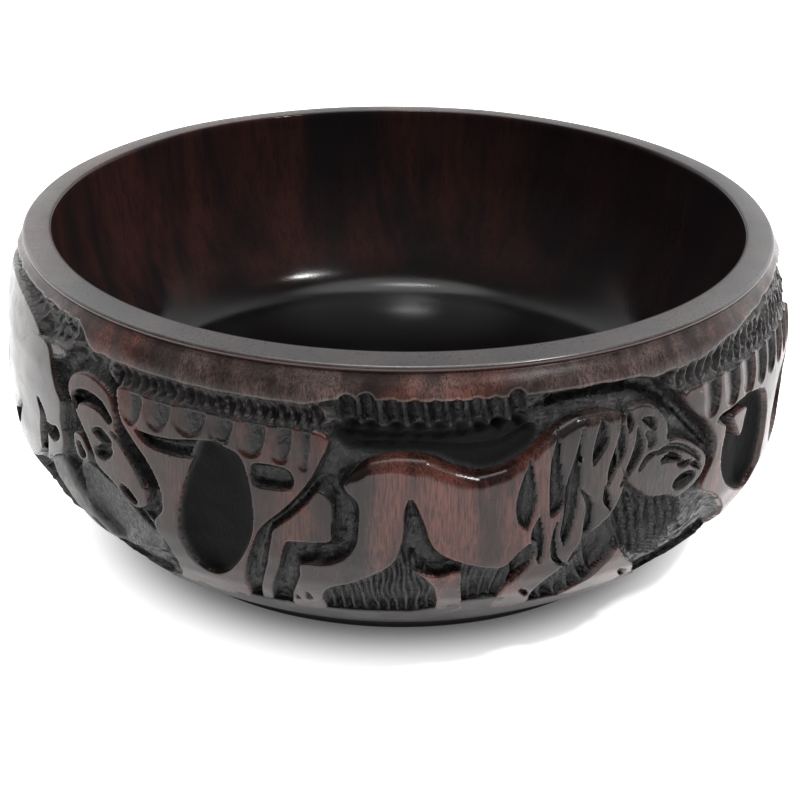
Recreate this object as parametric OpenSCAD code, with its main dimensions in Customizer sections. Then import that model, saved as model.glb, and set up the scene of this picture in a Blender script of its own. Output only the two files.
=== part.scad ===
// Carved wooden bowl: one turned block of dark wood with a frieze of animals in relief.
// Millimetres. The origin is the middle of the foot's rest face, +Z is up, the front is -Y.
// Angles run round the wall from the front (0) towards +X (90), the back (180) and -X (-90).
// Every outline below is a list of [angle, height] points on the wall, joined by a smooth curve.

/* [Bowl] */
// Radius of the frieze at its fullest, measured on the animals' polished backs
belly_r = 114.3; // [110:0.1:119]
// Height of the inner edge of the lip above the table
rim_z = 94.4; // [93.4:0.1:96.4]
// Width of the flat lip from its inner edge to its outer edge
lip_w = 8; // [6:0.5:9]
// Fall of the lip's top face from its inner edge to its outer edge
lip_fall = 1; // [0:0.1:1.5]
// Height of the middle of the dished floor above the table
floor_z = 30; // [26:0.5:33]
// Radius where the inside wall meets the fillet of the floor
floor_r = 83; // [78:0.5:85]

/* [Foot] */
// Outer radius of the foot ring on the table
foot_r = 75.5; // [70:0.5:76]
// Width of the flat face the bowl rests on
foot_w = 14; // [8:0.5:18]
// Depth of the recess inside the foot ring
foot_recess = 2; // [1:0.1:2.5]

/* [Frieze] */
// How far the animals stand out from the carved ground
relief = 6; // [4:0.5:8]
// Curve steps between two outline points
steps = 3; // [2:1:4]

/* [Hidden] */
$fn = 120;
frieze_lo = 21;
frieze_hi = 83;
collar_hi = 90.8;
lip_lo = 91.8;
foot_h = 2.2;
// Radius where the smooth underside meets the foot
under_r = 77;
// Height and radius where the floor's dish meets the fillet of the wall
dish_z = 40.4;
dish_r = floor_r - 6;
lip_r = belly_r - 6.3;
lip_in = lip_r - lip_w;

// How far inside the belly radius the feet of the animals and the top of the frieze lie
feet_in = 12.2;
top_in = 2.6;
// Proud surface of the frieze: [height, how far inside the belly radius]
swell = [
  [frieze_lo, feet_in], [26.7, 7.2], [32.7, 3.8], [39.7, 1.5], [47.7, 0.6], [55.7, 0.1],
  [63.7, 0], [71.7, 0.4], [frieze_hi, top_in]
];
// The smooth band above the frieze, as [how far inside the belly radius, height]
band = [[3.4, 86], [4.8, 88.6], [6.6, 90.3], [7.6, collar_hi]];
// Radius of the neck between the band and the lip
neck_r = lip_r - 4.2;
// The smooth underside, as [radius, height] from the foot up to the feet of the animals
belly_curve = [[81, 5.2], [87, 9.2], [95.2, 14.7]];
function proud_r(z) = belly_r - lookup(z, swell);

wood = [0.20, 0.16, 0.15];
ground_wood = [0.10, 0.10, 0.11];
polished = [0.40, 0.34, 0.33];

// Catmull-Rom curve through a closed list of points
function blend(a, b, c, d, t) =
  0.5 * ((2 * b) + (c - a) * t + (2 * a - 5 * b + 4 * c - d) * t * t
  + (3 * b - a - 3 * c + d) * t * t * t);
function smooth(p) = [
  for (i = [0 : len(p) - 1]) for (k = [0 : steps - 1])
    blend(p[(i + len(p) - 1) % len(p)], p[i], p[(i + 1) % len(p)], p[(i + 2) % len(p)], k / steps)
];
// Wall point [angle, height] laid flat on the plane facing the angle mid
function flat(p, mid) = [proud_r(p[1]) * sin(p[0] - mid), p[1]];
function flat_loop(p, mid) = [for (q = smooth(p)) flat(q, mid)];
// The same outline seen in a mirror, stretched by k, with angle 0 carried to at
function mirrored(p, at, k) = [for (i = [len(p) - 1 : -1 : 0]) [at - k * p[i][0], p[i][1]]];
function moved(p, at, k) = [for (q = p) [at + k * q[0], q[1]]];

// Buffalo on the left of the front, head down
buffalo_back = [
  [-39.3, 77.5], [-32, 79.5], [-22, 79.8], [-13, 79.3], [-9.3, 76], [-10.2, 69],
  [-12, 62], [-14.8, 55], [-18, 48], [-19.8, 40], [-21.5, 31], [-23.5, 20],
  [-28, 20], [-33, 20], [-32.2, 27], [-32.2, 34], [-33.9, 41], [-32.4, 47],
  [-32.8, 53], [-35, 60], [-38.6, 68]
];
buffalo_oval = [
  [-25, 69.6], [-20.3, 67], [-18.7, 56], [-19.4, 43], [-22, 34], [-25, 29.5],
  [-28, 31.5], [-29.8, 41], [-29.4, 52], [-28, 61], [-26.8, 66]
];
buffalo_nook = [[-18.3, 66], [-14.2, 66.3], [-13.2, 62.5], [-14.8, 60], [-17.8, 60.5]];
buffalo_face = [
  [-48, 66], [-49.8, 70.5], [-49, 75.3], [-46, 77.4], [-43, 76.4], [-41.2, 73],
  [-40.7, 68], [-39.8, 62.6], [-37.5, 58], [-35.3, 52.5], [-35, 48], [-36.8, 44.6],
  [-38.8, 45.6], [-41.5, 49.5], [-44.2, 52.6], [-45, 57], [-46.8, 61.5]
];
buffalo_curl = [
  [-48.4, 68], [-47.4, 71], [-44.5, 72.4], [-42.3, 71], [-42.6, 68.4], [-45.4, 68.9]
];

// Lion in the middle of the front, striding to the right
lion_body = [
  [-5.2, 66.5], [-2, 70.3], [3, 70.8], [7, 69], [10.5, 66.6], [14, 67.6], [17, 71.5],
  [20.5, 76], [25, 78.3], [30, 77.4], [29.7, 70], [30.2, 64], [30.9, 57], [29.9, 50],
  [27.3, 45], [25.2, 42], [24.9, 36.5], [22.6, 33.6], [20.4, 28], [19.6, 20],
  [15.4, 20], [15.2, 28], [17.4, 33.5], [18.4, 39.5], [16.8, 42], [14.2, 37.6],
  [10, 39.3], [6.2, 43], [4.6, 47], [3.6, 55], [1.9, 59.6], [1.2, 53], [0.7, 44],
  [-1, 39], [-5, 33.8], [-8.8, 30.3], [-10, 26.5], [-10.4, 20], [-14.6, 20],
  [-14.2, 28], [-12.9, 34], [-12.2, 38.3], [-8.6, 39.3], [-6, 42], [-4.8, 47],
  [-4.6, 54], [-5.6, 60.5]
];
lion_head = [
  [31.2, 75.8], [34, 78.2], [37, 75.6], [38.8, 71.5], [41, 67.6], [43.6, 63],
  [46, 57.4], [46, 53.2], [43.8, 49.3], [40.6, 47.8], [37.6, 50], [35, 51],
  [33, 54], [32.2, 60], [31.4, 66], [31, 71]
];
lion_mouth = [[39.6, 52.4], [41, 54.4], [44, 53.4], [43.4, 50.6], [40.8, 50]];
lion_far_hind = [[2.2, 40.5], [5.2, 36.5], [8.2, 39], [9.2, 30], [9.8, 20], [6.2, 20], [5.4, 30]];
lion_far_fore = [
  [27.2, 20], [29.2, 27.5], [30.6, 35], [32, 36.4], [34, 31.5], [37, 26], [38.4, 20], [32, 20]
];

buffalo_ear = [[-49, 57.4], [-48, 59.6], [-46.4, 57.6], [-45.8, 53.6], [-46.8, 51.4], [-48.8, 52.8]];

// Buffalo on the right of the front, head away from the lion
buffalo_flank = [
  [41.6, 76.6], [47, 77.4], [56, 77.6], [65, 77.4], [73, 77.6], [79, 76.8], [83, 72],
  [85.8, 64], [86, 58], [84.8, 52], [84.6, 46], [84.4, 40], [82, 35], [76, 33], [73, 30.6],
  [72, 25], [72, 19], [62, 19], [59, 24.6], [55.6, 31], [52.4, 37], [49.6, 41.6],
  [46.2, 45.4], [46.4, 49], [48, 54], [48, 60], [46, 66], [43, 71]
];
flank_hollow = [
  [48.8, 65.6], [50.6, 61.8], [50.2, 55], [50.6, 49], [52.6, 43], [55.6, 38.6],
  [59.4, 35], [62.6, 33.6], [64.6, 38], [64.6, 45], [64.4, 52], [63.6, 59], [61.6, 64.4], [57, 66.4]
];
chest_hollow = [
  [70, 62.6], [76, 65], [81, 62], [83.2, 55], [83, 47], [81, 41.6], [76, 38.6], [71, 39.6],
  [68.2, 45], [67.6, 54]
];

// Elephant on the left side, its head towards the buffalo
elephant_body = [
  [-113, 58], [-110, 70], [-103, 77.5], [-94, 80.5], [-84, 81], [-76, 79.5], [-76.4, 70],
  [-77, 60], [-75, 50], [-71, 43.5], [-72, 34], [-73.4, 20], [-83, 20], [-84.4, 31],
  [-88, 36.5], [-94, 37], [-99, 34], [-100.4, 20], [-109.6, 20], [-111, 34], [-113.6, 46]
];
elephant_head = [
  [-74.6, 79.5], [-67, 82], [-60, 81], [-55.8, 76.6], [-53.6, 69], [-51.4, 62], [-51.2, 54],
  [-52.8, 49], [-56, 40], [-59, 32], [-62.4, 26.6], [-66.4, 23.4], [-69.4, 25.4],
  [-68, 29.6], [-65.2, 33.4], [-64.8, 38], [-67.4, 44], [-71.4, 52], [-73.2, 61], [-73.6, 71]
];

// Animals of the back, facing the same way round as the lion
rhino = [
  [0, 58], [3.4, 68], [10, 73.5], [18, 71.5], [25, 72.5], [31, 76.5], [35.6, 73.5],
  [37.8, 79], [39.6, 71], [42.6, 62.6], [44.2, 66.4], [45.2, 59.6], [47.6, 67.6],
  [48.8, 55.6], [49, 48.6], [46, 44.6], [41.6, 44.2], [38, 45], [36.2, 38], [35.4, 30],
  [36, 20], [28.6, 20], [29, 31], [27, 37], [20, 35.6], [13.8, 37], [12.6, 30],
  [12.8, 20], [4.6, 20], [4.8, 33], [1.6, 42], [-0.6, 50]
];
antelope = [
  [0, 52], [2.6, 62], [9, 66.4], [18, 65.4], [25, 67], [29.6, 72], [32.4, 77.6],
  [37, 80.6], [41, 77.6], [45.6, 71], [45.2, 67.4], [41, 67.4], [38, 69.4], [36.4, 62],
  [35.6, 53], [34.2, 46], [34.8, 34], [35, 20], [30.4, 20], [29.6, 33], [28.4, 44],
  [22, 43.6], [14, 45], [11.4, 42], [12.4, 33], [11.8, 20], [7, 20], [6.6, 32],
  [3.6, 42], [0.4, 46]
];
antelope_horn = [[33.2, 80.2], [29, 78], [24, 72.6], [20.6, 70.8], [19, 74.6], [23.6, 79.4], [29, 81.8]];

bowl_floor();
bowl_wall();
rim_lip();
collar_band();
base_band();
foot_ring();
buffalo_left();
buffalo_left_head();
buffalo_left_ear();
lion();
lion_hind_paw();
lion_fore_paw();
lion_crown();
buffalo_right();
buffalo_right_head();
rhino_body();
antelope_body();
antelope_horns();
leopard();
leopard_crown();
elephant();
elephant_face();

// Ring between the carved ground and the proud surface, from the base band to the collar
module relief_ring() {
  rotate_extrude()
    polygon(concat(
      [for (s = swell) [belly_r - s[1], s[0]]],
      [for (i = [len(swell) - 1 : -1 : 0]) [belly_r - swell[i][1] - relief, swell[i][0]]]
    ));
}

// Straight cutter standing out from the wall at the angle mid, in the shape of an outline
module cutter(loop, mid) {
  rotate([0, 0, mid])
    rotate([90, 0, 0])
      translate([0, 0, 50])
        linear_extrude(height = 75)
          polygon(flat_loop(loop, mid));
}

// One animal: the part of the ring inside its outline
module figure(loop, mid) {
  intersection() {
    relief_ring();
    cutter(loop, mid);
  }
}

// The thick bottom of the block, dished on top and a little hollow underneath
module bowl_floor() {
  color(ground_wood)
    rotate_extrude()
      polygon([
        [0, foot_recess], [foot_r - foot_w, foot_recess], [foot_r - foot_w, foot_h], [under_r, foot_h],
        [belly_r - swell[0][1] - relief - 2, frieze_lo - 2],
        [belly_r - swell[0][1] - relief, frieze_lo],
        [belly_r - swell[1][1] - relief, swell[1][0]],
        [belly_r - swell[2][1] - relief, swell[2][0]],
        [belly_r - swell[3][1] - relief, swell[3][0]],
        [dish_r, dish_z], [floor_r - 12, 37.6], [floor_r - 30, floor_z + 3.6],
        [floor_r - 52, floor_z + 1], [12, floor_z], [0, floor_z]
      ]);
}

// The wall of the block behind the frieze, with the smooth inside of the bowl
module bowl_wall() {
  color(ground_wood)
    rotate_extrude()
      polygon(concat(
        [for (i = [3 : len(swell) - 1]) [belly_r - swell[i][1] - relief, swell[i][0]]],
        [[neck_r, collar_hi], [neck_r, lip_lo], [lip_in - 0.2, lip_lo]],
        [[lip_in - 1.4, 84], [lip_in - 4.4, 70], [floor_r + 5, 56], [floor_r, 47]],
        [[floor_r - 2.4, 43.5], [dish_r, dish_z]]
      ));
}

// The polished lip: a flat ring that falls a little towards its outer edge
module rim_lip() {
  color(wood)
    rotate_extrude()
      polygon([
        [lip_in - 0.2, lip_lo], [lip_r - 1.6, lip_lo], [lip_r - 0.4, 92.3], [lip_r, 92.8],
        [lip_r - 0.2, rim_z - lip_fall], [lip_in + 0.6, rim_z], [lip_in, rim_z - 0.4]
      ]);
}

// The smooth band between the frieze and the lip
module collar_band() {
  color(polished)
    rotate_extrude()
      polygon(concat(
        [[belly_r - top_in - relief, frieze_hi], [belly_r - top_in, frieze_hi]],
        [for (b = band) [belly_r - b[0], b[1]]],
        [[neck_r, collar_hi]]
      ));
}

// The smooth underside the animals stand on
module base_band() {
  color(polished)
    rotate_extrude()
      polygon(concat(
        [[under_r, foot_h]],
        belly_curve,
        [[belly_r - feet_in, frieze_lo], [belly_r - feet_in - relief, frieze_lo]],
        [[belly_r - feet_in - 2 - relief, frieze_lo - 2]]
      ));
}

// The ring the bowl stands on
module foot_ring() {
  color(wood)
    rotate_extrude()
      polygon([
        [foot_r - foot_w, 0], [foot_r, 0], [foot_r + 0.8, 0.8], [foot_r + 0.8, foot_h],
        [foot_r - foot_w, foot_h]
      ]);
}

module buffalo_left() {
  color(polished)
    difference() {
      figure(buffalo_back, -24);
      cutter(buffalo_oval, -24);
      cutter(buffalo_nook, -24);
    }
}

module buffalo_left_head() {
  color(polished)
    difference() {
      figure(buffalo_face, -42);
      cutter(buffalo_curl, -42);
    }
}

module buffalo_left_ear() {
  color(polished)
    figure(buffalo_ear, -47);
}

module lion() {
  color(polished)
    figure(lion_body, 8);
}

module lion_hind_paw() {
  color(polished)
    figure(lion_far_hind, 6);
}

module lion_fore_paw() {
  color(polished)
    figure(lion_far_fore, 32);
}

module lion_crown() {
  color(polished)
    difference() {
      figure(lion_head, 38);
      cutter(lion_mouth, 38);
    }
}

module buffalo_right() {
  color(polished)
    difference() {
      figure(buffalo_flank, 65);
      cutter(flank_hollow, 65);
      cutter(chest_hollow, 65);
    }
}

module buffalo_right_head() {
  color(polished)
    difference() {
      figure(mirrored(buffalo_face, 49, 1.05), 93);
      cutter(mirrored(buffalo_curl, 49, 1.05), 93);
    }
}

module rhino_body() {
  color(polished)
    figure(moved(rhino, 103.5, 0.86), 124);
}

module antelope_body() {
  color(polished)
    figure(moved(antelope, 147, 1), 170);
}

module antelope_horns() {
  color(polished)
    figure(moved(antelope_horn, 147, 1), 173);
}

module leopard() {
  color(polished)
    figure(moved(lion_body, 205, 0.86), 214);
}

module leopard_crown() {
  color(polished)
    difference() {
      figure(moved(lion_head, 205, 0.86), 238);
      cutter(moved(lion_mouth, 205, 0.86), 238);
    }
}

module elephant() {
  color(polished)
    figure(elephant_body, -94);
}

module elephant_face() {
  color(polished)
    figure(elephant_head, -63);
}
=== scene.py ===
# %% [markdown]
# # A carved ebony bowl
# The real bowl is one block of very dark wood. It was turned round on a lathe, its lip and its
# inside were polished, and then a carver cut away the ground between the animals with gouges.
# So every visible face here is one of two kinds: turned skin, smooth and polished, or cut ground,
# matt and full of tool marks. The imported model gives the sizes, and this file makes the surfaces.

from functools import partial

import bpy
import numpy as np
from mathutils import Matrix, Vector


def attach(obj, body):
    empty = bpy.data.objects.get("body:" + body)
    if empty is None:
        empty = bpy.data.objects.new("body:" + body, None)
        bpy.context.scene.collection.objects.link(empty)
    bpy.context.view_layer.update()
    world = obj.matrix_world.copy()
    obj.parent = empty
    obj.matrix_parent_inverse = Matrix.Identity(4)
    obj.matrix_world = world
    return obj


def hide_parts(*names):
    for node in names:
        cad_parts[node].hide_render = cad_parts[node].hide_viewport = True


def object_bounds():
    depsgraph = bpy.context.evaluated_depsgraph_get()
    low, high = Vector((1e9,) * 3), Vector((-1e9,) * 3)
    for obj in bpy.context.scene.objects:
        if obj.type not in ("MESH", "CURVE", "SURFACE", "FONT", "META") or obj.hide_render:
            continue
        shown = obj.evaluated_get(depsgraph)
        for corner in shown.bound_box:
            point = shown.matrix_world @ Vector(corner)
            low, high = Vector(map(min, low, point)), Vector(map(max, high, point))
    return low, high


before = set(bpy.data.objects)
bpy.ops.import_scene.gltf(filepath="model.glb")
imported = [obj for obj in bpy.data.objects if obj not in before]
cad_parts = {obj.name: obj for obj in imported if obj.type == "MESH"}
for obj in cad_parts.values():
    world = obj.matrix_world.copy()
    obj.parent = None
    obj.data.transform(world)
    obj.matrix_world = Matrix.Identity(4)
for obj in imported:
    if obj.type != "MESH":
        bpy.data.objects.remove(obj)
cad_low, cad_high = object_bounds()
MM = 0.001
belly = (cad_high.x - cad_low.x) / 2 / MM
rim = cad_high.z / MM
print(f"belly radius {belly:.1f} mm, rim at {rim:.1f} mm")

# %% [markdown]
# ## The wall as a map
# A turned wall is a radius that depends only on the height. A point on it needs two numbers, the
# angle round the bowl and the height, like a place on a map. Angle 0 is the front, 90 is +X.
# Carving takes wood away along the radius, so the whole frieze is one depth for each map point.

# %% The turned wall
# pairs of height and how far the skin lies inside the belly radius, in mm
FALL_OFF = np.array([
    [0, 38.2], [2.2, 37.4], [5.2, 33], [9.2, 26.6], [14.8, 18.6], [21, 12.2], [26.7, 7.2], [32.7, 3.8],
    [39.7, 1.5], [47.7, 0.6], [55.7, 0.1], [63.7, 0], [71.7, 0.4], [79, 1.6], [83, 2.6], [86, 3.3],
    [88.6, 4.4], [90.3, 5.8], [91.7, 6.9],
])
WALL_TOP = FALL_OFF[-1, 0]
MM_PER_DEG = np.radians(1) * (belly - 3)  # one degree of the map, measured a little under the skin
RELIEF = 6.0  # the usual depth of the deepest carving, mm
DEEPEST, BACK, GROUND_BACK = RELIEF + 2, RELIEF + 3, RELIEF + 5  # deepest cut, back of a figure and of the ground
INSIDE_R = 101.3  # no block reaches further in than this radius, in the wall above WALL_FROM
WALL_FROM = 60
THINNEST = 0.4  # least thickness of a block, mm
PAD = 20  # half the window of the smoothing, in samples of the profile
fine = np.linspace(0, WALL_TOP, 1400)
raw = np.pad(np.interp(fine, FALL_OFF[:, 0], FALL_OFF[:, 1]), PAD, "edge")
soft = np.convolve(raw, np.ones(2 * PAD + 1) / (2 * PAD + 1), "valid")


def skin_radius(z):
    """Radius in mm of the turned skin at height z: the belly radius less a smoothed fall-off."""
    return belly - np.interp(z, fine, soft)


def wall_point(angle, z, depth):
    """A map point under the skin, in metres: x = r sin a, y = -r cos a, with r = skin - depth."""
    r = skin_radius(z) - depth
    a = np.radians(angle)
    return np.stack([r * np.sin(a), -r * np.cos(a), z + 0 * r], -1) * MM


print(f"skin radius at the feet {skin_radius(22.0):.1f} mm, at the collar {skin_radius(87.0):.1f} mm")

# %% [markdown]
# ## Drawing on the map
# A carver draws the animals on the wall before cutting. Here an outline is a short list of
# [angle, height] points with a smooth curve through them, and the useful number at any map point
# is how far inside the outline it lies. A gouge stroke is the same idea with an open line.

# %% Outlines and strokes


def curve(points, closed, steps=5):
    """Catmull-Rom curve: each piece is a cubic whose slope at a point is half the chord of its neighbours."""
    p = np.asarray(points, float)
    q = np.concatenate([p[-1:], p, p[:2]]) if closed else np.concatenate([p[:1], p, p[-1:]])
    t = (np.arange(steps) / steps)[None, :, None]
    b, c, d, e = q[:-3, None], q[1:-2, None], q[2:-1, None], q[3:, None]
    out = 0.5 * (2 * c + (d - b) * t + (2 * b - 5 * c + 4 * d - e) * t**2 + (3 * c - b - 3 * d + e) * t**3)
    out = out.reshape(-1, p.shape[1])
    return out if closed else np.concatenate([out, p[-1:]])


def inside(angle, z, outline, steps=5):
    """Signed distance in mm to a closed outline, positive inside: the nearest edge, with the sign from crossings."""
    p = curve(outline, True, steps)
    px, pz = p[:, 0] * MM_PER_DEG, p[:, 1]
    qx, qz = np.roll(px, -1), np.roll(pz, -1)
    x, y = angle * MM_PER_DEG, z
    best = np.full(np.shape(x + y), 1e9)
    odd = np.zeros(best.shape, bool)
    for ax, az, bx, bz in zip(px, pz, qx, qz):
        dx, dz = bx - ax, bz - az
        t = np.clip(((x - ax) * dx + (y - az) * dz) / (dx * dx + dz * dz + 1e-12), 0, 1)
        best = np.minimum(best, (x - ax - t * dx) ** 2 + (y - az - t * dz) ** 2)
        if dz != 0:
            odd ^= ((az > y) != (bz > y)) & (x < ax + dx * (y - az) / dz)
    return np.sqrt(best) * np.where(odd, 1, -1)


def stroke(angle, z, path, steps=5):
    """Distance in mm inside an open line of [angle, height, half width]; also 0 at its edge to 1 on the line."""
    p = curve(path, False, steps)
    x, y = angle * MM_PER_DEG, z
    best = np.full(np.shape(x + y), -1e9)
    share = np.zeros(best.shape)
    for (a0, z0, w0), (a1, z1, w1) in zip(p[:-1], p[1:]):
        ax, dx, dz = a0 * MM_PER_DEG, (a1 - a0) * MM_PER_DEG, z1 - z0
        t = np.clip(((x - ax) * dx + (y - z0) * dz) / (dx * dx + dz * dz + 1e-12), 0, 1)
        gap = np.hypot(x - ax - t * dx, y - z0 - t * dz)
        wide = w0 + (w1 - w0) * t
        share = np.maximum(share, 1 - gap / wide)
        best = np.maximum(best, wide - gap)
    return best, share


def gouge(deep, *path):
    """One gouge cut: its kind, its depth in mm and its path of [angle, height, half width]."""
    return "gouge", deep, list(path)


def scoop(near, deep):
    """A gouge's round cut: depth = deep * (1 - (1 - near)^2), with a crisp edge where near is 0."""
    return deep * (1 - (1 - np.clip(near, 0, 1)) ** 2)


def step(x, low, high):
    """Smooth step from 0 at low to 1 at high: 3t^2 - 2t^3."""
    t = np.clip((x - low) / (high - low), 0, 1)
    return t * t * (3 - 2 * t)


print(f"a stroke 2 mm wide and 1 mm deep is {scoop(0.5, 1.0)} mm deep half-way to its edge")

# %% [markdown]
# ## Chips and waves
# Hand-cut ground is made of small flat facets, one for each push of the chisel, and even polished
# wood is never quite true. Both come from cheap patterns: facets from the nearest of a jittered
# grid of points, each with its own tilt, and slow waves from a few sines.

# %% Tool marks
dice = np.random.default_rng(7)
TABLE = dice.random((64, 64, 4))  # for each grid point: where it lies, its level and its tilt
TILT = 1.6


def facets(angle, z, width, height):
    """Chisel facets, about -1 to 1, of a size in mm: the nearest jittered grid point gives a level and a tilt."""
    x, y = angle * MM_PER_DEG / width, z / height
    i, j = np.floor(x).astype(int), np.floor(y).astype(int)
    best = np.full(x.shape, 1e9)
    level = np.zeros(x.shape)
    for di in (-1, 0, 1):
        for dj in (-1, 0, 1):
            seed = TABLE[(i + di) % 64, (j + dj) % 64]
            gx, gy = x - (i + di + seed[..., 0]), y - (j + dj + seed[..., 1])
            gap = gx * gx + gy * gy
            tilt = gx * (seed[..., 3] - 0.5) + gy * (seed[..., 2] - seed[..., 0])
            here = seed[..., 2] - 0.5 + TILT * tilt
            level = np.where(gap < best, here, level)
            best = np.minimum(best, gap)
    return level * 1.4


def waves(angle, z, size):
    """Slow unevenness, about -1 to 1: three sines that cross at odd angles. size is the wave in mm."""
    k = 2 * np.pi / size
    x = angle * MM_PER_DEG
    one = np.sin(k * x + 1.3 * np.sin(k * z * 0.6))
    two = np.sin(k * (z * 0.9 + x * 0.4) + 2)
    three = np.sin(k * (x * 0.7 - z) + 4)
    return (one + two + three) / 3


print(f"the tool marks use {TABLE.size} random numbers")

# %% [markdown]
# ## From map to mesh
# Each animal is a block of its own: a front that follows the depth map, a back buried in the wood,
# and side walls round the border of the cells that are kept. That makes a closed shell, and the
# steep cut sides come from the depth map itself. Every point carries a number called cut: below 0
# where hands have rubbed the skin bright, 0 on waxed skin, 1 where the gouge went, and up to 1.6 in
# the deepest hollows, where it paints them near black as painted shade. The woods read it.

# %% Blocks of wall


def tidy_cells(keep):
    """Fills one of the two empty cells wherever two kept cells touch only at a corner."""
    keep = keep.copy()
    for _ in range(6):
        a, b, c, d = keep[:-1, :-1], keep[1:, :-1], keep[:-1, 1:], keep[1:, 1:]
        one, two = a & d & ~b & ~c, b & c & ~a & ~d
        if not (one.any() or two.any()):
            break
        b |= one
        a |= two
    return keep


def wall_block(name, a, z, depth, keep, back, cut):
    """A closed block: front at depth for each map point a, z, a back, and walls where a kept cell ends."""
    na, nz = a.shape
    back = np.where(z > WALL_FROM, np.minimum(back, skin_radius(z) - INSIDE_R), back)
    front = wall_point(a, z, np.minimum(depth, back - THINNEST)).reshape(-1, 3)
    rear = wall_point(a, z, back).reshape(-1, 3)
    keep = tidy_cells(keep)
    index = np.arange(na * nz).reshape(na, nz)
    low_left, low_right = index[:-1, :-1], index[1:, :-1]
    up_left, up_right = index[:-1, 1:], index[1:, 1:]
    n = na * nz
    padded = np.pad(keep, 1)
    quads = [
        np.stack([low_left, low_right, up_right, up_left], -1)[keep],
        np.stack([low_left, up_left, up_right, low_right], -1)[keep] + n,
    ]
    for side, first, second in (
        (padded[:-2, 1:-1], low_left, up_left),
        (padded[2:, 1:-1], up_right, low_right),
        (padded[1:-1, :-2], low_right, low_left),
        (padded[1:-1, 2:], up_left, up_right),
    ):
        edge = keep & ~side
        a, b = first[edge], second[edge]
        quads.append(np.stack([a, b, b + n, a + n], -1))
    front_faces = len(quads[0])
    quads = np.concatenate(quads)
    used, faces = np.unique(quads, return_inverse=True)
    points = np.concatenate([front, rear])[used]
    shade = np.concatenate([cut.ravel(), np.ones(n)])[used]
    return make_mesh(name, points, faces.reshape(-1, 4), {"cut": shade}, front_faces)


def make_mesh(name, points, faces, values, soft_faces=None):
    """A mesh of quads with one named number per point for each entry of values. The first soft_faces are smooth."""
    mesh = bpy.data.meshes.new(name)
    mesh.vertices.add(len(points))
    mesh.vertices.foreach_set("co", np.ascontiguousarray(points, dtype=np.float32).ravel())
    mesh.loops.add(faces.size)
    mesh.loops.foreach_set("vertex_index", np.ascontiguousarray(faces, dtype=np.int32).ravel())
    mesh.polygons.add(len(faces))
    mesh.polygons.foreach_set("loop_start", np.arange(0, faces.size, 4, dtype=np.int32))
    mesh.update(calc_edges=True)
    smooth = len(faces) if soft_faces is None else soft_faces
    mesh.polygons.foreach_set("use_smooth", np.arange(len(faces)) < smooth)
    for key, numbers in values.items():
        layer = mesh.attributes.new(key, "FLOAT", "POINT")
        layer.data.foreach_set("value", np.ascontiguousarray(numbers, dtype=np.float32))
    mesh.validate()
    piece = bpy.data.objects.new(name, mesh)
    bpy.context.scene.collection.objects.link(piece)
    print(f"{name}: {len(faces)} faces")
    return piece


# %% [markdown]
# ## The animals
# The outlines are drawn in round numbers. Each animal is described by its outline, the
# holes that go right down to the ground, and the gouge cuts on its skin. A figure keeps the turned
# skin on top, rolls over at its edge, and drops steeply to the ground.

# %% A figure
EDGE = 0.45  # radius of the rolled edge of a figure, mm
WALL_SLOPE = 8  # mm down for each mm out, in the side of a figure
HEM = 1.0  # how far a block goes on outside its outline, mm
SNAP = 0.55  # how far, in cells, a grid point may move to reach an edge
GRID = 0.4  # cell of the map on a figure, mm
MARGIN, SIDE_MARGIN = 1.6, 1.2  # room round an outline: mm above and below, degrees at the sides
BASE_Z, TOP_Z = 20.0, 89.5  # feet run into the foot of the wall here, backs into the band
PIT_SIDE = 2.2  # width of the curved side of a pit, mm
SHELL_SIDE = 1.0
SHALLOWEST = 0.02  # keeps every front a hair under the skin of the model, mm
BARE_EDGE = (0.06, 0.3)  # mm inside a cut over which the polish ends
figures = {}
bodies = {}


def moved(points, at, k):
    """A drawing carried round the bowl: angle -> at + k * angle. A negative k gives its mirror image."""
    return [[at + k * p[0], *p[1:]] for p in points]


def moved_cuts(cuts, at, k):
    """The same for a list of cuts."""
    return [(kind, deep, moved(path, at, k)) for kind, deep, path in cuts]


def profile(s):
    """Depth of a figure at s mm inside its outline: a quarter circle inside the edge, a steep wall outside it."""
    near_edge = np.clip(EDGE - s, 0, EDGE)
    return EDGE - np.sqrt(np.clip(EDGE**2 - near_edge**2, 0, None)) + np.clip(-s, 0, None) * WALL_SLOPE


def cell_grid(low_a, high_a, low_z, high_z, size=GRID):
    """A map grid with cells of the given size in mm, as two arrays: the angle and the height of each point."""
    angles = np.linspace(low_a, high_a, int((high_a - low_a) * MM_PER_DEG / size) + 1)
    heights = np.linspace(low_z, high_z, int((high_z - low_z) / size) + 1)
    return np.meshgrid(angles, heights, indexing="ij")


def snapped(a, z, gap, size=GRID):
    """Moves the grid points nearest to the line gap = 0 onto it, along the slope of gap, so that an edge is clean."""
    d = gap(a, z)
    dx = np.gradient(d, axis=0) / np.gradient(a * MM_PER_DEG, axis=0)
    dz = np.gradient(d, axis=1) / np.gradient(z, axis=1)
    move = np.where(np.abs(d) < SNAP * size, -d / np.maximum(dx * dx + dz * dz, 0.5), 0)
    move[[0, -1]] = 0
    move[:, [0, -1]] = 0
    return a + move * dx / MM_PER_DEG, z + move * dz


def skin_gap(outline, holes, cuts):
    """Distance from a map point to the nearest edge of the skin that is left, positive on the skin."""

    def gap(a, z):
        s = inside(a, z, outline)
        for hole in holes:
            s = np.minimum(s, -inside(a, z, hole))
        for kind, _, path in cuts:
            s = np.minimum(s, -(stroke(a, z, path)[0] if kind == "gouge" else inside(a, z, path)))
        return s

    return gap


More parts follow.
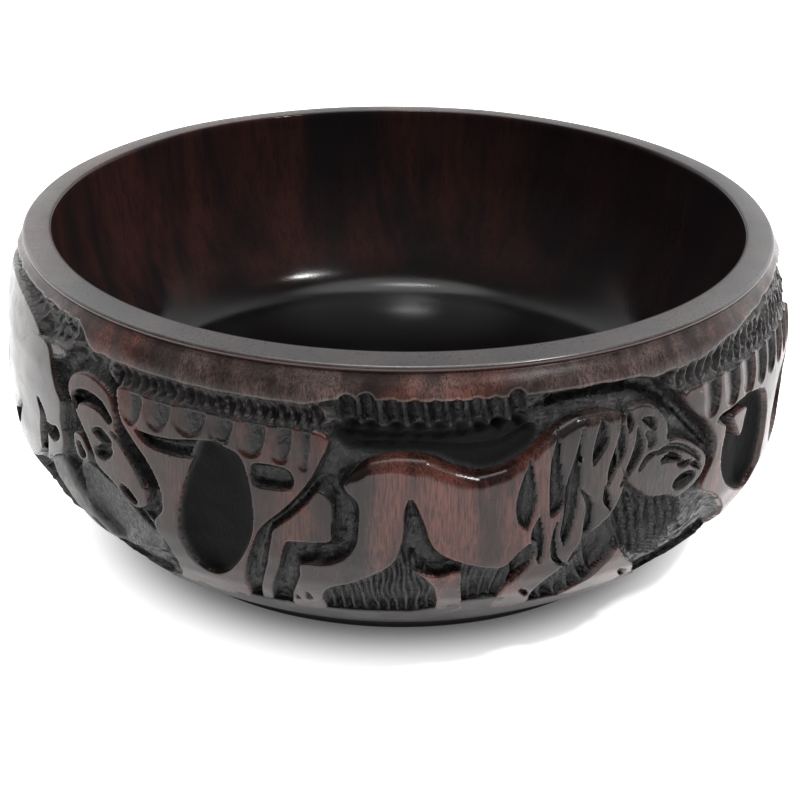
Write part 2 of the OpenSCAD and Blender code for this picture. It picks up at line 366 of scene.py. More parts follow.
def cut_depth(a, z, kind, deep, path):
    """Depth of one cut on the skin, and how much of the polish it takes away, 0 to 1."""
    if kind == "gouge":
        gap, share = stroke(a, z, path)
        return scoop(share, deep), step(gap, *BARE_EDGE)
    gap = inside(a, z, path)
    if kind == "pit":
        return scoop(gap / PIT_SIDE, deep), step(gap, *BARE_EDGE)
    left, right = min(p[0] for p in path), max(p[0] for p in path)
    slope = np.clip((a - left) / (right - left), 0, 1) * np.clip(gap / SHELL_SIDE, 0, 1)
    return deep * slope, step(slope, 0.2, 0.75)


def figure(name, outline, holes=(), cuts=(), lean=None, matt=0.0, rubbed=None):
    """One animal: profile, cuts and a slow unevenness. matt is how dull its skin is, rubbed where it shines."""
    line = curve(outline, True)
    low_z, high_z = max(line[:, 1].min(), BASE_Z) - MARGIN, min(line[:, 1].max() + MARGIN, TOP_Z)
    a, z = cell_grid(line[:, 0].min() - SIDE_MARGIN, line[:, 0].max() + SIDE_MARGIN, low_z, high_z)
    body = skin_gap(outline, holes, ())
    a, z = snapped(a, z, skin_gap(outline, holes, cuts))
    s = body(a, z)
    carved, worn = np.zeros_like(a), np.maximum(step(-s, *BARE_EDGE), matt)
    for kind, deep, path in cuts:
        depth, bare = cut_depth(a, z, kind, deep, path)
        carved, worn = np.maximum(carved, depth), np.maximum(worn, bare)
    # polished by hand, so it is out of true by 0.1 mm over 23 mm and 0.04 mm over 7 mm
    depth = profile(s) + carved + 0.1 * waves(a, z, 23) + 0.04 * waves(a, z, 7)
    if lean is not None:
        depth = depth + lean(a, z)
    if rubbed is not None:
        worn = worn - rubbed(a, z) * (1 - worn)
    depth = np.clip(depth, SHALLOWEST, DEEPEST)
    keep = (s[:-1, :-1] > -HEM) | (s[1:, 1:] > -HEM)
    bodies[name] = (line[:, 0].min(), line[:, 0].max(), body)
    figures[name] = wall_block(name, a, z, depth, keep, BACK, worn)


print(f"the side of a figure is {np.degrees(np.arctan(WALL_SLOPE)):.0f} degrees steep")

# %% [markdown]
# ### The buffalo on the left
# Its body is a broad plain flank with a row of scoops along the spine, a long slit under them, and
# a tall oval hollow between its legs. Its head hangs low in front with a curled horn.

# %% Buffalo
buffalo_flank = [
    [-39.8, 77.2], [-37, 78], [-33, 77.4], [-27, 78], [-20, 77.4], [-14, 77.4], [-10.6, 77], [-8.6, 75],
    [-9.6, 69], [-11.4, 62], [-14.4, 54.6], [-17.6, 48], [-19.4, 40], [-20.8, 31], [-22.4, 19],
    [-28, 18], [-34.6, 19], [-32.6, 25], [-32.2, 33], [-34.1, 41], [-32.4, 46.5], [-32.6, 53],
    [-34.6, 60], [-38.6, 68], [-39.6, 73],
]
buffalo_oval = [
    [-25.6, 69.8], [-22.4, 69.4], [-20, 66.6], [-18.7, 56], [-19, 45], [-21.6, 35], [-25, 29],
    [-28.2, 31], [-29.9, 41], [-29.4, 51], [-27.8, 60.5], [-26.6, 65.4],
]


def shell(left, right, low, high=78.4):
    """A scoop with a straight top and a round bottom, deepest along its right side."""
    bottom = [(left + right) / 2 + 0.4, low]
    return ("shell", 1.5, [[left, high], [right, high], [right, low + 3], bottom, [left + 0.3, low + 2.4]])


spine_scoops = [
    shell(-39.2, -35.5, 68.2), shell(-35.2, -30.9, 68.9), shell(-30.5, -25.5, 69.8), shell(-25.2, -21.5, 69.4),
    shell(-21.2, -17, 67.8), shell(-16.7, -13.4, 67.2), shell(-13, -10.9, 66),
]
buffalo_slit = gouge(2.6, [-36.2, 67.8, 0.4], [-34, 66.2, 1.7], [-30.6, 66, 2.3], [-26.8, 67.2, 2.6],
    [-24, 68, 2.6])
buffalo_nook = ("pit", 2.6, [[-18.6, 66.4], [-14.4, 66.6], [-12.9, 64], [-13.3, 60.6], [-16, 60], [-18.4, 60.8]])
buffalo_cuts = spine_scoops + [buffalo_slit, buffalo_nook]
buffalo_face = [
    [-48.4, 66], [-49.9, 70.4], [-49.3, 74.8], [-46.6, 77.2], [-43.4, 76.6], [-41, 74.2], [-40.2, 70],
    [-39.6, 64.6], [-38.4, 60.6], [-36.4, 56], [-34.9, 51], [-35, 47.2], [-36.6, 44.4], [-38.6, 45.4],
    [-41.2, 49.4], [-44, 52.4], [-44.8, 56], [-46.6, 61.4],
]
face_cuts = [
    gouge(3.4, [-48, 67.2, 1.0], [-47.9, 69.6, 2.0], [-45.8, 70.9, 2.1], [-43, 70.4, 1.9], [-41, 67.6, 1.2]),
    gouge(1.6, [-44, 62.6, 1.0], [-42.8, 62.4, 1.9], [-41.4, 61, 1.7]),
    gouge(2.0, [-43.4, 57, 1.6], [-42.4, 57.4, 2.5], [-41.4, 58.6, 1.9]),
    gouge(2.0, [-39.2, 49.4, 0.9], [-38.2, 47.8, 1.5], [-37.1, 46.2, 1.1]),
    gouge(0.7, [-40.6, 64.4, 0.5], [-38.8, 62, 0.9], [-36.8, 57.4, 0.8], [-35.4, 51.6, 0.4]),
]
buffalo_ear = [[-49, 57], [-48.4, 59.3], [-47, 59.2], [-45.9, 56.4], [-45.5, 53], [-46.6, 51.4], [-48.4, 52.2]]
ear_cuts = [gouge(2.6, [-47.7, 56.2, 1.0], [-47, 53.8, 1.5])]

figure("buffalo_left", buffalo_flank, [buffalo_oval], buffalo_cuts)
figure("buffalo_left_head", buffalo_face, (), face_cuts, matt=0.2)
figure("buffalo_left_ear", buffalo_ear, (), ear_cuts)

# %% [markdown]
# ### The lion at the front
# It strides to the right. The flank is left as plain skin, so that the wood's grain is its coat.
# The mane is a sheaf of long pointed gouge cuts with ridges of skin between them.

# %% Lion
lion_body = [
    [-6.6, 62.4], [-5.6, 66], [-3.4, 69.4], [0, 70.8], [4, 70.2], [7.6, 67], [10.8, 65.2], [14.4, 66.6],
    [17.4, 70], [20.4, 75], [24, 77.9], [30, 77.6], [30.2, 70], [30.4, 64], [31.2, 57.4], [30, 50],
    [27.6, 45.4], [25.4, 43], [24.9, 37], [22.8, 34], [20.6, 29], [19.9, 25], [20.2, 19], [14.6, 19],
    [14.9, 28], [16.8, 33.5], [18.3, 38.4], [18.1, 44], [16.4, 42], [14.2, 37.5], [10.2, 39.2],
    [6.6, 42.4], [4.8, 46], [3.8, 52], [2.6, 58], [1.8, 59.6], [1.2, 56], [1.1, 50], [0.5, 43.6],
    [-1, 39.2], [-5, 34], [-8.6, 30.8], [-10, 27], [-10.3, 19], [-14.9, 19], [-14.6, 24.6], [-13.8, 29],
    [-12.8, 34], [-12.3, 38.6], [-9, 39.2], [-6.6, 41.6], [-5, 46], [-4.7, 52], [-4.8, 58],
]
back_line = np.array([
    [-6.6, 63], [-5.6, 66], [-3.4, 69.4], [0, 70.8], [4, 70.2], [7.6, 67], [10.8, 65.2], [14.4, 66.6], [17.4, 70],
    [20.4, 75], [24, 77.9], [30, 77.6],
])
HIGH_ABOVE = 200  # a height well above the back, where its roll is complete, mm


def shoulder(a, z):
    """The back rolls over, broad behind and narrow at the withers: a quarter circle of radius r, 0.8 as deep."""
    r = np.interp(a, [-6, 2, 9, 16, 30], [3.4, 5.2, 5.2, 3.6, 3.0])
    below = np.interp(a, back_line[:, 0], back_line[:, 1]) - z
    reach = np.clip(r - below, 0, r)
    return (r - np.sqrt(np.clip(r * r - reach * reach, 0, None))) * 0.8 * step(a, -7, -4)


mane = [
    [[17.5, 68.6, 0.3], [17.2, 63, 1.9], [17, 57, 2.9], [16.9, 52, 2.2], [17.3, 49, 0.4]],
    [[21.3, 74.6, 0.4], [20.9, 68, 1.5], [21, 61, 2.1], [21.2, 56, 2.3], [20.6, 52, 0.8]],
    [[24.6, 74.4, 0.3], [24, 68, 0.9], [23.4, 60, 2.1], [23.2, 52, 2.0], [22.8, 46, 1.7], [22.7, 42.6, 0.4]],
    [[19, 52.4, 0.3], [18.8, 47, 2.0], [19.2, 42, 1.7], [19.5, 37.4, 0.4]],
    [[21.4, 49.6, 0.3], [21.2, 44, 1.0], [21.8, 38, 1.1], [23.4, 35.2, 0.3]],
    [[25.4, 42.6, 0.3], [24.6, 39, 0.8], [23.8, 36, 0.3]],
]
paw_pits = [
    gouge(1.3, [-12.2, 27.4, 0.8], [-12.1, 25.4, 1.2]),
    gouge(1.2, [-13.9, 26, 0.5], [-13.8, 24.2, 0.8]),
    gouge(2.0, [17.8, 27.6, 0.7], [18.6, 26.2, 1.2], [19.2, 24.6, 0.8]),
]
mane_edge = [
    [[27.7, 76, 0.6], [27.5, 71.4, 2.1], [26.6, 67, 1.3], [26.2, 64.6, 0.4]],
    [[30.6, 73, 0.6], [30.3, 67.6, 1.8], [29.2, 62.4, 1.5], [28.6, 58, 0.5]],
    [[33, 71.6, 0.5], [33.2, 66.4, 1.7], [32, 61.4, 1.3], [30.6, 56.6, 0.5]],
    [[31.4, 77, 0.4], [31.8, 74.4, 1.2], [31.6, 71.6, 0.5]],
    [[28.2, 57.4, 0.4], [28.6, 53.6, 1.4], [29.2, 50.4, 0.5]],
    [[24.6, 58, 0.3], [26, 53, 1.3], [26, 47, 1.5], [25.4, 43, 0.4]],
]
lion_crown = [
    [31.2, 76.4], [33.4, 77.6], [35.6, 76.4], [37.4, 73], [38.2, 69], [38.2, 66], [40.2, 65], [42.8, 62.2],
    [45.6, 57.6],
    [46.3, 54], [45.4, 50.6], [43.4, 48.2], [40.8, 47.2], [39, 49], [36, 50.2], [34.2, 52.6], [32.4, 55.6],
    [31, 59.6],
    [29.8, 64], [29.4, 70],
]
crown_cuts = [gouge(2.2, *m) for m in mane_edge] + [
    gouge(2.0, [34, 73.4, 0.8], [35.2, 72.2, 1.5], [35.6, 70.6, 0.9]),
    gouge(1.0, [34.6, 69.4, 1.0], [35.4, 67.4, 1.7], [35, 65.6, 0.9]),
    gouge(1.5, [36.4, 63, 0.6], [38.4, 63.4, 1.2], [41, 61.8, 1.2], [43.4, 58.6, 1.0], [44.6, 56.2, 0.6]),
    gouge(2.2, [37.4, 60.2, 0.9], [38.8, 60.4, 1.5], [40.4, 59, 1.1]),
    gouge(1.6, [40.4, 57.2, 0.6], [41.6, 56.6, 1.2], [42.6, 57, 0.6]),
    gouge(1.6, [43, 55.8, 0.7], [44, 55, 1.2], [44.8, 53.6, 0.7]),
    ("pit", 2.8, [[39.8, 50.4], [39.9, 52.6], [41.4, 54.2], [43.6, 53.6], [44.2, 51.6], [42.8, 49.8], [41, 49.2]]),
    gouge(1.2, [33.4, 59.6, 0.5], [34.6, 62.4, 1.0], [36, 63.4, 0.5]),
]
lion_hind = [[2.4, 38.4], [4, 36.8], [6, 36], [8.6, 37.4], [9, 32], [9.4, 27], [10.2, 19], [6.4, 19],
    [5.9, 27], [5, 33]]
lion_fore = [[25.8, 19], [28.6, 26], [30.6, 33], [31.6, 36.6], [33.6, 32.4], [36.4, 27.4], [38.6, 22.6],
    [39.6, 19], [32, 18.4]]
fore_cuts = [gouge(1.6, [34.2, 26.4, 0.6], [36, 23.6, 1.2], [37.4, 20.6, 0.6])]

lion_cuts = [gouge(2.3, *m) for m in mane + mane_edge] + paw_pits
figure("lion", lion_body, (), lion_cuts, shoulder, rubbed=lambda a, z: step(shoulder(a, z), 0.1, 0.8))
figure("lion_crown", lion_crown, (), crown_cuts, matt=0.35)
figure("lion_hind_paw", lion_hind)
figure("lion_fore_paw", lion_fore, (), fore_cuts)

# %% [markdown]
# ### The buffalo on the right, and the elephant
# The right buffalo is the left one turned about, so that the two face away from the lion. The
# elephant is nearly all plain skin with a few deep cuts for the ear, the eye and the mouth.

# %% Right buffalo and elephant
RIGHT_HEAD = (49, -1.05)
right_scoops = [
    ("shell", 1.7, moved(shell(-1.9, 1.9, 66.6)[2], at, -1))
    for at in (46.9, 51.8, 56.5, 60.8, 64.9, 69, 73, 77)
]
right_slit = gouge(3.2, [48.4, 64.6, 0.6], [50.6, 63.6, 1.6], [53.4, 64.4, 2.6], [57.4, 65.6, 1.4],
    [61.4, 64.6, 0.5])
right_flank = [
    [41.6, 76.6], [47, 77.4], [56, 77.6], [65, 77.4], [73, 77.6], [79, 76.8], [83, 72], [85.8, 64], [86, 58],
    [84.8, 52], [84.6, 46], [84.4, 40], [82, 35], [76, 33], [73, 30.6], [72, 25], [72, 19], [62, 19], [59, 24.6],
    [55.6, 31], [52.4, 37], [49.6, 41.6], [46.2, 45.4], [46.4, 49], [48, 54], [48, 60], [46, 66], [43, 71],
]
right_hollow = [
    [48.8, 65.6], [50.6, 61.8], [50.2, 55], [50.6, 49], [52.6, 43], [55.6, 38.6], [59.4, 35], [62.6, 33.6],
    [64.6, 38], [64.6, 45], [64.4, 52], [63.6, 59], [61.6, 64.4], [57, 66.4],
]
right_chest = [
    [70, 62.6], [76, 65], [81, 62], [83.2, 55], [83, 47], [81, 41.6], [76, 38.6], [71, 39.6], [68.2, 45],
    [67.6, 54],
]
figure("buffalo_right", right_flank, [right_hollow, right_chest], right_scoops + [right_slit])
figure("buffalo_right_head", moved(buffalo_face, *RIGHT_HEAD), (), moved_cuts(face_cuts, *RIGHT_HEAD))

elephant_body = [
    [-113, 58], [-110, 70], [-103, 77.5], [-94, 81.5], [-84, 84], [-76, 85.6], [-68, 85], [-61.4, 82.6],
    [-58.8, 79.6],
    [-62, 77.4], [-65.6, 72], [-70, 69.6], [-74, 66], [-77, 58], [-77, 48], [-74, 41], [-72.6, 34],
    [-73.4, 19], [-83, 19],
    [-84.4, 31], [-88, 36.5], [-94, 37], [-99, 34], [-100.4, 19], [-109.6, 19], [-111, 34], [-113.6, 46],
]
elephant_head = [
    [-74, 68.6], [-70, 71.6], [-66, 74], [-62.6, 78.4], [-58.6, 79.6], [-56, 78.6], [-54.6, 74], [-53.4, 69],
    [-51.8, 65.4],
    [-52, 60], [-51.6, 54], [-52.6, 49.6], [-55.6, 46.4], [-57.6, 43.6], [-59.4, 45], [-60.6, 42.6], [-64, 39],
    [-68, 37], [-72, 38], [-76.6, 42], [-76.4, 50], [-75.6, 60],
]
elephant_cuts = [
    gouge(4.6, [-58.8, 61, 0.8], [-57.4, 57, 1.9], [-57.8, 51, 2.6], [-58.4, 46, 2.2]),
    gouge(3.6, [-56.6, 54.6, 1.6], [-54.6, 54, 2.4], [-53.6, 55, 2.0]),
    gouge(3.4, [-82, 40, 0.6], [-77, 41.4, 1.8], [-72, 45, 2.4], [-67.2, 53, 1.2]),
]
figure("elephant", elephant_body)
figure("elephant_face", elephant_head, (), elephant_cuts)

# %% [markdown]
# ### Small plates
# Between the animals the carver left a few small pieces of skin standing: a haunch with its tail,
# the tip of an ear, and a tooth of wood that the gouge went round.

# %% Plates
plates = {
    "haunch": (0.25, [
        [-9.8, 61], [-8.2, 58], [-8.2, 50], [-8.6, 46], [-13, 45.2], [-14.4, 44.2], [-15.4, 37], [-17.2, 28],
        [-18.6, 19],
        [-20.2, 19], [-18.8, 28], [-17.2, 37], [-16.4, 44.6], [-15.8, 48.4], [-13.4, 52.8], [-11.2, 57.6],
    ]),
    "ear_tip": (0.6, [[-56.6, 79.8], [-51.2, 80.2], [-52.6, 77], [-55.6, 75.8]]),
    "tooth": (1.6, [[53.8, 61.8], [57.8, 61.8], [57.4, 58], [56.4, 54], [55, 57.4]]),
}
for name, (deep, outline) in plates.items():
    figure(name, outline, lean=lambda a, z, deep=deep: deep)

# %% [markdown]
# ### The back of the bowl
# Nothing shows there, so these three animals follow the same rules as the ones in front: plain
# bodies, a few pits for eyes, and scoops where the real carver puts hair.

# %% Rhino, antelope and leopard
RHINO, ANTELOPE, LEOPARD = (103.5, 0.86), (147, 1), (205, 0.86)
rhino_line = [
    [0, 58], [3.4, 68], [10, 73.5], [18, 71.5], [25, 72.5], [31, 76.5], [35.6, 73.5], [37.8, 79],
    [39.6, 71], [42.6, 62.6], [44.2, 66.4], [45.2, 59.6], [47.6, 67.6], [48.8, 55.6], [49, 48.6],
    [46, 44.6], [41.6, 44.2], [38, 45], [36.2, 38], [35.4, 30], [36, 19], [28.6, 19], [29, 31],
    [27, 37], [20, 35.6], [13.8, 37], [12.6, 30], [12.8, 19], [4.6, 19], [4.8, 33], [1.6, 42], [-0.6, 50],
]
rhino_cuts = [
    gouge(2.0, [40, 58, 0.7], [41, 57.6, 1.3], [42, 58, 0.7]),
    gouge(2.0, [36.4, 74, 0.5], [37.4, 72, 1.3], [37.6, 69, 0.6]),
    gouge(1.4, [41.6, 48.6, 0.5], [45, 48.2, 0.9], [48, 49.4, 0.7]),
    gouge(1.6, [30, 72, 0.7], [31.6, 62, 1.5], [31, 52, 1.3], [29.6, 46, 0.5]),
    gouge(1.6, [13.6, 62, 0.5], [12.6, 54, 1.4], [14, 46, 1.2], [17, 41, 0.5]),
]
antelope_line = [
    [0, 52], [2.6, 62], [9, 66.4], [18, 65.4], [25, 67], [29.6, 72], [32.4, 77.6], [37, 80.6], [41, 77.6],
    [45.6, 71], [45.2, 67.4], [41, 67.4], [38, 69.4], [36.4, 62], [35.6, 53], [34.2, 46], [34.8, 34],
    [35, 19], [30.4, 19], [29.6, 33], [28.4, 44], [22, 43.6], [14, 45], [11.4, 42], [12.4, 33],
    [11.8, 19], [7, 19], [6.6, 32], [3.6, 42], [0.4, 46],
]
antelope_cuts = [
    gouge(2.0, [36.6, 75.6, 0.7], [37.8, 75, 1.3], [39, 75, 0.6]),
    gouge(1.4, [32, 70, 0.5], [33, 62, 1.2], [31.6, 54, 0.6]),
    gouge(1.4, [28.6, 66, 0.5], [29.6, 58, 1.3], [28.4, 50, 0.6]),
    gouge(1.4, [9.6, 60, 0.5], [8.8, 54, 1.3], [10.4, 48, 0.6]),
]
horn_line = [[33.2, 80.2], [29, 78], [24, 72.6], [20.6, 70.8], [19, 74.6], [23.6, 79.4], [29, 81.8]]
horn_cuts = [
    gouge(1.0, [a, 72 + 0.5 * (a - 20), 0.5], [a - 1, 75.4 + 0.5 * (a - 20), 0.9]) for a in range(21, 32, 2)
]
figure("rhino_body", moved(rhino_line, *RHINO), (), moved_cuts(rhino_cuts, *RHINO))
figure("antelope_body", moved(antelope_line, *ANTELOPE), (), moved_cuts(antelope_cuts, *ANTELOPE))
figure("antelope_horns", moved(horn_line, *ANTELOPE), (), moved_cuts(horn_cuts, *ANTELOPE))
spots = (
    (-1.5, 65), (1.6, 62), (5, 64.6), (8, 60), (11.6, 61.6), (-2.4, 55), (6.4, 54), (9.6, 51), (12.6, 54.6), (-2, 46),
    (9, 44.6), (14, 47), (16, 59), (19, 66), (20, 56), (23.4, 70), (24, 60), (21.4, 45), (26, 52), (27.4, 67),
)
rosettes = [gouge(1.1, [a, z - 1.2, 1.0], [a + 0.5, z + 1.2, 1.3]) for a, z in spots]
figure("leopard", moved(lion_body, *LEOPARD), (), moved_cuts(rosettes + paw_pits, *LEOPARD))
figure("leopard_crown", moved(lion_crown, *LEOPARD), (), moved_cuts(crown_cuts, *LEOPARD))
print(f"{len(figures)} figures")

# %% [markdown]
# ## The carved ground
# Between the animals the wood is cut back by about half the thickness of a pencil. It is described by
# one list: places cut smooth, rounded swellings, places cut in parallel flutes like grass, chipped
# fringes and single gouge strokes. Where nothing is listed the ground is rough facets.

# %% Ground list
GROUND_LEVEL = 4.0  # usual depth of the ground, mm
GROUND_EDGE = 0.55  # its depth where it meets a figure: just under the rolled edge
GROUND_SIDE = 3.2  # width of the curve from there down to the level
LEAST_GROUND = 0.3
HANDLED, PAINTED_SHADE = 0.7, 0.6  # how much less bare a touched place is, and how much painted shade a deep hollow gets
PAINTED_SHADE_FROM = (5.0, 5.5)  # a smooth hollow deeper than this is painted dark, as painted shade
front_ground = [
    # hollows cut smooth: depth, width of the curved side, outline
    ("smooth", 5.6, 9, buffalo_oval),
    ("smooth", 5.6, 8, right_hollow),
    ("smooth", 6.6, 8, right_chest),
    ("smooth", 5.4, 3, [[-8, 78.6], [2, 78.4], [10, 78], [17, 78.6], [19, 75], [17, 70], [12, 66], [8, 67.6],
        [4, 70.6], [-6, 71.6]]),
    ("smooth", 4.6, 3, [[25.6, 45], [28, 46.6], [30.6, 43], [31, 36], [29.4, 28], [27, 34]]),
    ("smooth", 3.8, 3, [[15.4, 41], [17.6, 43], [18.4, 39], [17.4, 33], [15.6, 30.6], [14.8, 36]]),
    # flutes: depth of ribs and valleys, width in mm and slant, outline
    ("flutes", (1.0, 3.6), (3.0, 0.1), [[-11, 19], [-11, 27], [-8.6, 31], [-5, 34], [-1, 39.6], [1, 44],
        [3, 42], [5.6, 34], [5, 26], [4, 19]]),
    ("flutes", (2.2, 3.8), (3.4, -0.1), [[8, 41], [15, 38], [17.4, 31], [16, 26], [9.4, 25.4]]),
    ("flutes", (1.4, 4.0), (4.2, 0.5), [[19, 19], [21, 28], [25, 35], [27, 30], [31, 22], [31, 18]]),
    ("flutes", (1.2, 4.2), (3.3, 0.3), [[29, 49], [31, 54], [34, 51], [39, 48], [43, 46], [44, 36], [42, 26],
        [37, 29], [33, 36], [30, 42]]),
    ("smooth", 2.2, 2, [[-9, 79], [-9, 88], [17.6, 88], [17.6, 79]]),
    ("smooth", 3.6, 5, [[-49, 50], [-38, 44], [-34, 38], [-35, 30], [-40, 27], [-46, 24], [-49, 34]]),
    # the elephant's trunk, a rounded swelling: depth of its top, width of its curved side, outline
    ("swell", 1.0, 3.6, [[-58.4, 46], [-53.4, 48.6], [-50.4, 43], [-48.4, 36], [-45.6, 30], [-45.2, 26],
        [-48, 23], [-52, 25.4], [-55.4, 33], [-58, 40]]),
    gouge(1.6, [-49.6, 30.4, 0.6], [-48.8, 28.6, 1.4], [-48, 27, 0.7]),
    # chipped fringes: depth, then height of the chips, cell size in mm and how far they lean, outline
    ("chips", 1.2, (0.4, 1.5, 1.3, 1.0), [[-41, 77], [-41, 85], [-26, 85], [-10.4, 85], [-9.4, 77.4], [-25, 77.4]]),
    ("chips", 1.2, (0.4, 2.4, 1.6, -1.0), [[40, 76.8], [42, 85], [56, 86], [70, 88], [80, 88], [80, 77.6],
        [60, 77.4]]),
    ("chips", 3.2, (0.8, 1.8, 1.4, 0.4), [[17, 78], [22, 80.6], [30, 80.6], [34, 79], [31, 77.6], [25, 78.6],
        [20, 76]]),
    ("chips", 3.6, (0.8, 2.2, 1.8, 0.3), [[-66, 84], [-64, 90], [-47, 88], [-46, 80], [-57, 80]]),
    # single strokes: extra depth and path
    gouge(2.2, [18, 80.6, 1.2], [22, 83.4, 2.2], [28, 84.2, 2.5], [34, 82.6, 2.8], [38, 78, 3.0],
        [42, 72, 3.0], [46, 64, 2.6], [49, 57, 1.4]),
    gouge(1.2, [-8, 75.6, 0.6], [-2, 75.2, 1.2], [6, 75, 1.2], [12, 76.4, 1.0], [17, 79, 0.5]),
    gouge(1.0, [-6, 72.6, 0.6], [2, 72.8, 1.1], [9, 71.6, 1.2], [14, 72.4, 1.0], [18, 76, 0.5]),
    gouge(2.0, [-50, 66, 1.4], [-45, 56, 2.0], [-42, 50, 2.4], [-39, 44, 2.4], [-36, 38, 1.8]),
    gouge(1.8, [-40, 80, 1.0], [-39.6, 70, 1.6], [-36, 60, 2.0], [-34, 52, 1.6]),
]
curls = [
    gouge(1.9, [a, 83, 0.5], [a + 0.8, 81.6, 1.1], [a + 1.2, 79.8, 1.1], [a + 0.9, 78, 0.5])
    for a in np.arange(-41, -10.5, 1.5)
] + [
    gouge(1.7, [a + 1.4, 84.6, 0.5], [a + 0.8, 82.4, 1.1], [a, 79.8, 1.1], [a - 0.2, 78, 0.5])
    for a in np.arange(41, 80, 1.9)
]
grass = [
    ("flutes", (1.4, 4.0), (4.0, slant), [[a - 6, 19], [a - 5, 30], [a, 36], [a + 6, 31], [a + 6, 19]])
    for a, slant in (
        (94, 0.1), (113, -0.1), (140, 0.15), (167, 0.05), (-168, -0.1), (-148, 0.1), (-108, -0.15), (-122, 0.1),
        (-64, 0.1),
    )
]
sky = [
    ("flutes", (1.8, 4.6), (5.0, slant), [[a - 9, 78], [a - 8, 88], [a + 8, 88], [a + 9, 78]])
    for a, slant in ((106, 0.1), (158, 0.05), (-160, -0.08), (-138, 0.1))
]
# round-topped cuts above the lion: angle and height of the top
front_tongues = [
    (-6.5, 86.5), (-4, 87), (-0.7, 85.7), (2.3, 85.6), (5, 85.5), (7.8, 85.5), (10.3, 85.7), (12.8, 85.6), (15.8, 87),
]
tongue_cuts = [
    gouge(3.0, [at, top - 1.6, 2.4], [at + 0.3, 82, 2.7], [at + 0.7, 78, 2.4]) for at, top in front_tongues
]
ground_list = front_ground + curls + tongue_cuts + grass + sky
print(f"{len(ground_list)} places on the ground")

# %% [markdown]
# ### The band under the lip and the foot of the wall
# Both are plain turned skin, but the carver's cuts run into them, so their edges are wavy. Above
# the lion a row of round-topped cuts bites into the band like the milling on a coin.

# %% Edges of the skin
COLLAR_EDGE = np.array([
    [-180, 84], [-160, 83.6], [-150, 85.4], [-130, 84], [-118, 85], [-104, 84.4], [-90, 86], [-82, 88.2],
    [-75, 88.8], [-50, 88.7],
    [-48.4, 87.4], [-46.6, 84.4], [-45, 83.5], [-40, 83.3], [-12, 83.3], [-10, 84], [-8, 85.2], [16, 85.2],
    [18, 85], [26, 85.2],
    [34, 84.6], [36, 83.5], [45, 83.5], [50, 85], [55, 86], [60, 87.3], [65, 88.2], [75, 89], [84, 88],
    [92, 85.6], [105, 84.6],
    [120, 85.4], [135, 83.8], [150, 84.6], [165, 85.2], [180, 84],
])
back_tongues = (
    98, 101, 104.4, 107.6, 111, 114, 152, 155.4, 158.6, 162, 165, -166, -163, -160, -156.6, -142, -139, -135.8,
)
TONGUES = front_tongues + [(a, 86.4) for a in back_tongues]
BASE_EDGE = np.array([
    [-180, 21], [-150, 21.5], [-120, 20.6], [-84, 21.6], [-74, 21], [-66, 18], [-58, 14], [-50, 12],
    [-42, 13], [-36, 18], [-34, 21],
    [-20, 21], [-10.6, 20.6], [-9, 20], [2, 20], [6, 22], [10, 25.6], [15.6, 26], [18, 22], [20, 20],
    [27, 19.6], [32, 21],
    [39, 21], [42, 17], [46, 13], [52, 14], [57, 20], [70, 20], [80, 20.6], [100, 21], [140, 21.4],
    [160, 20.6], [180, 21],
])


def collar_inside(a, z):
    """Distance in mm above the wavy lower edge of the band, cut short by each round-topped tongue."""
    s = z - np.interp(a, COLLAR_EDGE[:, 0], COLLAR_EDGE[:, 1]) + 0.25 * waves(a, z, 8)
    for at, top in TONGUES:
        s = np.minimum(s, -stroke(a, z, [[at + 0.6, 70, 2.3], [at, top - 2.3, 2.3]], 1)[0])
    return s


def base_inside(a, z):
    """Distance in mm below the wavy upper edge of the foot of the wall."""
    return np.interp(a, BASE_EDGE[:, 0], BASE_EDGE[:, 1]) - z + 0.3 * waves(a, z, 9)


print(f"{len(TONGUES)} cuts bite into the band")

# %% [markdown]
# ### How deep the ground is
# The ground starts just under the rolled edge of the nearest figure and curves down to its level.
# Each place in the list then changes the depth inside its own outline. Bare wood is 1; a swelling or
# a chip that hands have touched is less, and the deepest hollows are more, which paints them black
# as painted shade.


# %% Depth of the ground
def skin_distance(a, z):
    """Distance in mm from a ground point to the nearest skin: a figure, the band above or the foot of the wall."""
    nearest = np.minimum(-collar_inside(a, z), -base_inside(a, z))
    for low, high, body in bodies.values():
        for turn in (-360, 0):
            if low + turn < a.max() + 2 and high + turn > a.min() - 2:
                nearest = np.minimum(nearest, -body(a - turn, z))
    return nearest


def quarter(t):
    """A quarter circle that rises steeply from 0 at t = 0 and lies flat at 1 from t = 1."""
    return np.sqrt(1 - (1 - np.clip(t, 0, 1)) ** 2)


